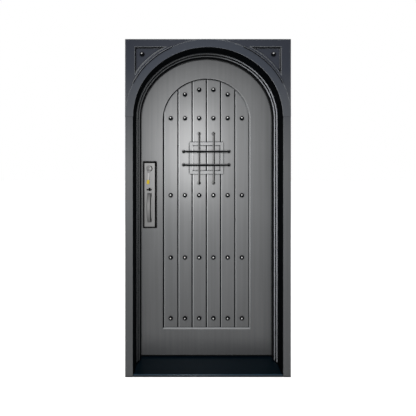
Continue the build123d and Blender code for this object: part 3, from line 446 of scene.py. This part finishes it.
# %% [markdown]
# The rest is plain: black enamelled hardware, the rubber seal, the yellow plastic tag and the foam
# core. Each is still grained, because moulded and cast surfaces always are, so one short recipe
# moves colour, roughness and bump together.


# %% Black hardware, rubber, plastic and foam
def grained(name, dark, light, roughness, scale, depth, gloss=0.5):
    finish = Finish(name, Specular_IOR_Level=gloss)
    grain = finish.noise(scale)
    finish.drive(Base_Color=finish.blend(grain, dark, light))
    finish.drive(Roughness=(roughness - 0.06 + grain * 0.12).clamped(0.05, 1.0))
    finish.bump(grain, depth)
    return finish.material


black_metal = grained("black_metal", grey(0.001), grey(0.003), 0.7, 300.0, 0.00006, 0.01)
rubber = grained("seal_rubber", grey(0.005), grey(0.01), 0.75, 500.0, 0.0001, 0.2)
tag_yellow = grained("tag_yellow", (0.4, 0.28, 0.001, 1), (0.47, 0.33, 0.002, 1), 0.4, 80.0, 0.0001, 0.15)
foam = grained("foam_core", (0.62, 0.52, 0.28, 1), (0.7, 0.6, 0.36, 1), 0.95, 240.0, 0.0008)
print("made black metal, rubber, plastic and foam")

# %% [markdown]
# Each piece takes the finish of its slot in the record, so nothing is left bare. A few pieces that
# share a slot differ in the photo, such as the lighter border of the look-out, and get their own.

# %% Give every piece its finish
slot_finish = {
    "frame_paint": frame_coat,
    "leaf_paint": leaf_coat,
    "stud_iron": cross_iron,
    "seal_rubber": rubber,
    "sill_paint": sill_coat,
    "foam": foam,
    "hinge_steel": hinge_coat,
    "black_metal": black_metal,
    "satin_steel": plate_steel,
    "lock_steel": lock_steel,
    "tag_plastic": tag_yellow,
}
own_finish = {
    "stop_outer": stop_coat,
    "stop_inner": stop_coat,
    "pull_grip": grip_steel,
    "inner_panel": plank_coat,
    "arch_head": arch_coat,
    "speakeasy_frame": border_coat,
    "speakeasy_door": lookout_coat,
}
slot_of = {part["node"]: part["material_slot"] for part in frame["record"]["subparts"]}
for name, piece in nodes.items():
    chosen = plank_coat if name.startswith("plank_") else slot_finish[slot_of[name]]
    piece.data.materials.clear()
    piece.data.materials.append(own_finish.get(name, chosen))
print("finished", len(nodes), "pieces")

# %% [markdown]
# Folded sheet and welded tube have no knife edges. The built faces are triangles, so the loose
# corners are welded, flat triangles are dissolved back into whole faces, and a narrow bevel rounds
# what is left. Each edge then catches its own thin line of light. Weighted normals keep the wide
# faces flat beside it. Modifiers do all this, so the built shape itself stays untouched.


# %% Round the edges
def soften(piece, width):
    weld = piece.modifiers.new("weld", "WELD")
    weld.merge_threshold = 0.00001
    flat = piece.modifiers.new("flat", "DECIMATE")
    flat.decimate_type = "DISSOLVE"
    flat.angle_limit = math.radians(0.05)
    bevel = piece.modifiers.new("round", "BEVEL")
    bevel.width = width
    bevel.segments = 2
    bevel.limit_method = "ANGLE"
    bevel.angle_limit = math.radians(28)
    bevel.use_clamp_overlap = True
    shade = piece.modifiers.new("shade", "WEIGHTED_NORMAL")
    shade.keep_sharp = True


edge_radius = {"frame_paint": 0.0012, "leaf_paint": 0.0009, "sill_paint": 0.0012, "black_metal": 0.0008}
edged = [name for name in nodes if slot_of[name] in edge_radius and name != "lock_case"]
for name in edged:
    soften(nodes[name], edge_radius[slot_of[name]])
print("rounded", len(edged), "pieces")

# %% [markdown]
# Some pieces are forged by hand, and their roundness is what the eye looks for. They replace plain
# solids of the built model, so each first asks where those solids are. A node can hold many, and
# walking along the edges from a corner finds all that belongs to one.


# %% Find the separate solids of a piece
def loose_boxes(name):
    """The lowest and highest corner of each separate solid of a built piece."""
    mesh = bmesh.new()
    mesh.from_mesh(nodes[name].data)
    bmesh.ops.remove_doubles(mesh, verts=mesh.verts, dist=0.00001)
    left = set(mesh.verts)
    found = []
    while left:
        wave = [left.pop()]
        corners = []
        while wave:
            vertex = wave.pop()
            corners.append(vertex.co.copy())
            near = {edge.other_vert(vertex) for edge in vertex.link_edges} & left
            left -= near
            wave.extend(near)
        low = Vector([min(corner[axis] for corner in corners) for axis in range(3)])
        high = Vector([max(corner[axis] for corner in corners) for axis in range(3)])
        found.append((low, high))
    mesh.free()
    return sorted(found, key=lambda box: (round(box[0].z, 4), round(box[0].x, 4)))


print("there are", len(loose_boxes("door_studs")), "studs on the leaf")

# %% [markdown]
# A new mesh becomes a piece of the door when it has smooth faces and a finish, rides on the body
# that carries it and hides the solids that it stands for. One helper does this for all of them.


# %% Turn a mesh into a piece
def finish_piece(mesh, name, body, finish, stands_for=()):
    bmesh.ops.recalc_face_normals(mesh, faces=mesh.faces)
    for face in mesh.faces:
        face.smooth = True
    data = bpy.data.meshes.new(name)
    mesh.to_mesh(data)
    mesh.free()
    piece = bpy.data.objects.new(name, data)
    bpy.context.scene.collection.objects.link(piece)
    data.materials.append(finish)
    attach(piece, body)
    if stands_for:
        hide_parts(*stands_for)
    return piece


print("new pieces can join the door")

# %% [markdown]
# A stud is a dome that was turned under a hammer. A squashed sphere would do, but it has no rim and
# its poles waste faces. Instead a profile is drawn once, from the seat over a small upright rim to
# the crown, and spun about the line that points out of the door.


# %% Spun domes
def spin(mesh, profile, centre, out, turns=24):
    """Turn a profile of (radius, height) pairs about the line from centre along out."""
    side = out.orthogonal().normalized()
    other = out.cross(side)
    rings = []
    for radius, height in profile:
        if radius == 0:
            rings.append([mesh.verts.new(centre + out * height)])
            continue
        angles = [math.tau * step / turns for step in range(turns)]
        arms = [side * math.cos(angle) + other * math.sin(angle) for angle in angles]
        rings.append([mesh.verts.new(centre + out * height + arm * radius) for arm in arms])
    for lower, upper in zip(rings, rings[1:]):
        for step in range(turns):
            follow = (step + 1) % turns
            corners = [lower[step % len(lower)], lower[follow % len(lower)]]
            corners += [upper[follow % len(upper)], upper[step % len(upper)]]
            unique = list(dict.fromkeys(corners))
            if len(unique) > 2:
                mesh.faces.new(unique)


def dome_profile(radius, height):
    """Seat, upright rim, a small step in, and the crown's arc from 12 degrees to the top."""
    crown_radius = radius * 0.95
    start = math.radians(12)
    arc_steps = 6
    points = [(0.0, 0.0), (radius, 0.0), (radius, height * 0.14), (crown_radius, height * 0.22)]
    for step in range(1, arc_steps):
        angle = start + (math.pi / 2 - start) * step / arc_steps
        wide = crown_radius * math.cos(angle) / math.cos(start)
        points.append((wide, height * (0.06 + 0.94 * math.sin(angle))))
    return points + [(0.0, height)]


out_of_door = Vector((0, -1, 0))
for node, body in (("door_studs", "leaf"), ("corner_studs", "frame")):
    heads = bmesh.new()
    boxes = loose_boxes(node)
    for low, high in boxes:
        seat = Vector(((low.x + high.x) / 2, high.y, (low.z + high.z) / 2))
        spin(heads, dome_profile((high.x - low.x) / 2, high.y - low.y), seat, out_of_door)
    finish_piece(heads, node + "_forged", body, stud_iron, [node])
    print(node, "spun", len(boxes), "domes")

# %% [markdown]
# The grille's bars are round rod, bent back to the door at both ends while hot. The smith draws the
# leg thin and leaves a small ball where it meets its foot. A curve with a bevel would be quick, but
# a round section carried along its path by hand can grow thin just where the real one does.


# %% Bent bars
def sweep(mesh, path, radii, across, turns=16):
    """Carry a circle along a path that lies in one plane; across is the line square to that plane."""
    rings = []
    for index, spot in enumerate(path):
        ahead = path[min(index + 1, len(path) - 1)] - path[max(index - 1, 0)]
        upward = across.cross(ahead.normalized())
        angles = [math.tau * step / turns for step in range(turns)]
        arms = [across * math.cos(angle) + upward * math.sin(angle) for angle in angles]
        rings.append([mesh.verts.new(spot + arm * radii[index]) for arm in arms])
    for lower, upper in zip(rings, rings[1:]):
        for step in range(turns):
            follow = (step + 1) % turns
            mesh.faces.new((lower[step], lower[follow], upper[follow], upper[step]))
    mesh.faces.new(rings[0])
    mesh.faces.new(list(reversed(rings[-1])))


rod_radius = 0.0065
neck_radius = 0.0034
root_radius = 0.0032
bend_radius = 0.026
foot_radius = 0.011
foot_root = 0.006
leg_low = 0.010
bend_steps = 12


def bar_side(half, reach):
    """Half a bar, from its foot to the end of its bend: (place along, height, radius) rows."""
    rows = [(half, foot_root, root_radius)]
    for step in range(bend_steps + 1):
        share = step / bend_steps
        angle = math.pi / 2 * share
        place = half - bend_radius + bend_radius * math.cos(angle)
        height = leg_low + (reach - leg_low) * math.sin(angle)
        rows.append((place, height, neck_radius + (rod_radius - neck_radius) * share**1.5))
    return rows


print("a bar is", 2000 * rod_radius, "mm thick and its neck", round(2000 * neck_radius, 1), "mm")

# %% [markdown]
# The ball foot is one more spun profile: a flat washer, a short neck, and an arc that runs from
# below the ball's middle up to its top.


# %% Ball feet
def ball_profile():
    washer = 0.0095
    ball, ball_middle, ball_rise = 0.0074, 0.0085, 0.0072
    arc_steps = 9
    points = [(0.0, 0.0), (washer, 0.0), (washer, 0.0014), (0.0055, 0.0022)]
    for step in range(1, arc_steps):
        angle = math.radians(-60 + 150 * step / arc_steps)
        points.append((ball * math.cos(angle), ball_middle + ball_rise * math.sin(angle)))
    return points + [(0.0, ball_middle + ball_rise)]


def bent_bar(mesh, low, high, along):
    """One bar in the box of its solid, lying along the given axis."""
    middle = (low + high) / 2
    centre = Vector((middle.x, high.y, middle.z))
    half = (high - low).dot(along) / 2 - foot_radius
    side = bar_side(half, high.y - low.y - rod_radius)
    rows = [(-place, height, radius) for place, height, radius in side] + side[::-1]
    path = [centre + along * place + out_of_door * height for place, height, radius in rows]
    sweep(mesh, path, [radius for place, height, radius in rows], out_of_door.cross(along))
    for end in (-half, half):
        spin(mesh, ball_profile(), centre + along * end, out_of_door, 20)


bars = (("upright_bars", Vector((0, 0, 1)), upright_iron), ("cross_bars", Vector((1, 0, 0)), cross_iron))
for node, along, iron in bars:
    rods = bmesh.new()
    for low, high in loose_boxes(node):
        bent_bar(rods, low, high, along)
    finish_piece(rods, node + "_forged", "leaf", iron, [node])
print("bent the bars of", len(bars), "pieces")

# %% [markdown]
# Where the corner strips run out on the arch tube, the welder fills the last thin wedge and grinds
# it flush, so the frame's outline stays straight. The wedge is a strip between the tube's own line
# and the flat face outside it, so it is built from the tube's corners rather than cut with a Boolean.


# %% The line of the arch tube
def outline_of(name, front_y):
    """The outer points of a piece's front edge, as (x, z) pairs."""
    vertices = [v.co for v in nodes[name].data.vertices if v.co.y < front_y + 0.001]
    return sorted({(round(co.x, 5), round(co.z, 5)) for co in vertices})


def up_to(line, axis, limit):
    """The points of a rising line up to a limit, with one more placed on the limit itself."""
    kept = [spot for spot in line if spot[axis] < limit]
    ahead = [spot for spot in line if spot[axis] >= limit][0]
    share = (limit - kept[-1][axis]) / (ahead[axis] - kept[-1][axis])
    return kept + [tuple(a + (b - a) * share for a, b in zip(kept[-1], ahead))]


tube_front, tube_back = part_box("arch_head")[0].y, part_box("arch_head")[1].y
wrap_low, wrap_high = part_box("corner_wraps")[0].z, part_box("corner_wraps")[1].z
half_frame = built_box[1].x
arch_line = outline_of("arch_head", tube_front)
wrap_inner = min(x for x, z in outline_of("corner_wraps", tube_front) if x > 0)
print("the arch tube's front edge has", len(arch_line), "corners")

# %% [markdown]
# Three wedges are enough: one over the crown, between the two corner strips, and one on each flank,
# below them. Each sinks a hair into the tube, and stays a hair inside the frame's outer size.


# %% Ground welds
def flush_fill(mesh, line, outer):
    """A strip between a line of (x, z) points and the same points moved out to the flat face."""
    rows = []
    for x, z in line:
        far_x, far_z = outer(x, z)
        ring = [(x, tube_front, z), (far_x, tube_front, far_z), (far_x, tube_back, far_z), (x, tube_back, z)]
        rows.append([mesh.verts.new(corner) for corner in ring])
    for near, far in zip(rows, rows[1:]):
        for index in range(4):
            after = (index + 1) % 4
            mesh.faces.new((near[index], near[after], far[after], far[index]))
    mesh.faces.new(rows[0])
    mesh.faces.new(list(reversed(rows[-1])))


sunk = 0.0001
shy = 0.00002
strip_search = 0.01
welds = bmesh.new()
top_line = [(x, z) for x, z in arch_line if x > 0 and z > built_box[1].z - strip_search]
half_crown = up_to(top_line, 0, wrap_inner)
crown = [(-x, z) for x, z in reversed(half_crown)] + half_crown
flush_fill(welds, [(x, z - sunk) for x, z in crown], lambda x, z: (x, wrap_high - shy))
rising = sorted((spot for spot in arch_line if spot[0] > half_frame - strip_search), key=lambda spot: spot[1])
for side in (-1, 1):
    flank = [(side * (x - sunk), z) for x, z in up_to(rising, 1, wrap_low)]
    flush_fill(welds, flank, lambda x, z: (side * (half_frame - shy), z))
ground_welds = finish_piece(welds, "ground_welds", "frame", frame_coat)
for polygon in ground_welds.data.polygons:
    polygon.use_smooth = False
print("filled three wedges with", len(ground_welds.data.polygons), "faces")

# %% [markdown]
# The camera stands where the photographer stood: level, a little left of the middle and above the
# lock, so the right reveal shows more than the left. Aiming it at the door would make the uprights
# lean, so it stays square to the door and the lens is shifted to frame the whole of it.

# %% Camera
front_plane = -0.1015
view_distance = 1.56
picture_pixels = 416
metres_per_pixel = 0.00612
camera_data = bpy.data.cameras.new("camera")
camera = bpy.data.objects.new("camera", camera_data)
bpy.context.scene.collection.objects.link(camera)
camera.location = (-0.117, front_plane - view_distance, 1.355)
camera.rotation_euler = (math.radians(90), 0, 0)
camera_data.sensor_width = 36.0
camera_data.lens = camera_data.sensor_width * view_distance / (picture_pixels * metres_per_pixel)
camera_data.shift_x = 0.0459
camera_data.shift_y = -0.1255
bpy.context.scene.camera = camera
print("camera lens", round(camera_data.lens, 2), "mm")

# %% [markdown]
# One tall soft light stands behind the camera and above the lock, and its narrow spread makes the
# leaf's middle the brightest and lets the corners fall off. Two side lamps and one behind the door
# show the flanks and the inside when the door is turned around.


# %% Lamps
def soft_light(name, place, target, size, power, spread=180.0):
    data = bpy.data.lights.new(name, "AREA")
    data.shape = "ELLIPSE"
    data.size, data.size_y = size
    data.energy = power
    data.spread = math.radians(spread)
    lamp = bpy.data.objects.new(name, data)
    lamp.location = place
    direction = Vector(target) - Vector(place)
    lamp.rotation_euler = direction.to_track_quat("-Z", "Y").to_euler()
    bpy.context.scene.collection.objects.link(lamp)


soft_light("key_light", (-0.07, -2.3, 1.42), (-0.02, 0, 1.22), (0.4, 1.4), 14.6, 85.0)
soft_light("back_light", (0.0, 3.4, 2.0), (0, 0, 1.1), (2.0, 2.0), 60.0)
soft_light("left_light", (-3.4, 0.9, 2.0), (0, 0, 1.0), (1.6, 1.6), 30.0)
soft_light("right_light", (3.4, 0.9, 2.0), (0, 0, 1.0), (1.6, 1.6), 30.0)
print("placed four lamps")

# %% [markdown]
# The photo is cut out on white. The sky is plain white to the camera, to mirrors and through glass,
# but lights the door only faintly, so the lamps decide its tones. The view transform is Standard,
# which keeps white at white.


# %% Sky
def seen_directly(web):
    """1 for rays from the camera, off a mirror or through glass, else 0."""
    kinds = ("Is Camera Ray", "Is Glossy Ray", "Is Transmission Ray")
    return sum(web.node("ShaderNodeLightPath", output=kind) for kind in kinds).clamped(0.0, 1.0)


ambient = 0.11
world = bpy.data.worlds.new("studio")
bpy.context.scene.world = world
world.use_nodes = True
sky = Web(world.node_tree)
backdrop = sky.tree.nodes["Background"]
sky.connect(backdrop.inputs["Color"], (1, 1, 1, 1))
sky.connect(backdrop.inputs["Strength"], seen_directly(sky) * (1.0 - ambient) + ambient)
bpy.context.scene.view_settings.view_transform = "Standard"
print("the sky is white and lights the door at", ambient)

# %% [markdown]
# The door stands on a wide, pale floor. It glows a little to the same rays that see the sky, so it
# melts into the white background and still keeps the door's shadow.

# %% Floor
reach = 12.0
corners = [(-reach, -reach, 0), (reach, -reach, 0), (reach, reach, 0), (-reach, reach, 0)]
floor_mesh = bpy.data.meshes.new("floor")
floor_mesh.from_pydata(corners, [], [(0, 1, 2, 3)])
floor = bpy.data.objects.new("floor", floor_mesh)
bpy.context.scene.collection.objects.link(floor)
pale = Finish("pale_floor", Base_Color=grey(0.8), Roughness=0.9, Emission_Strength=1.0)
pale.drive(Emission_Color=seen_directly(pale) * 0.9)
floor_mesh.materials.append(pale.material)
print("the floor is", 2 * reach, "m wide")
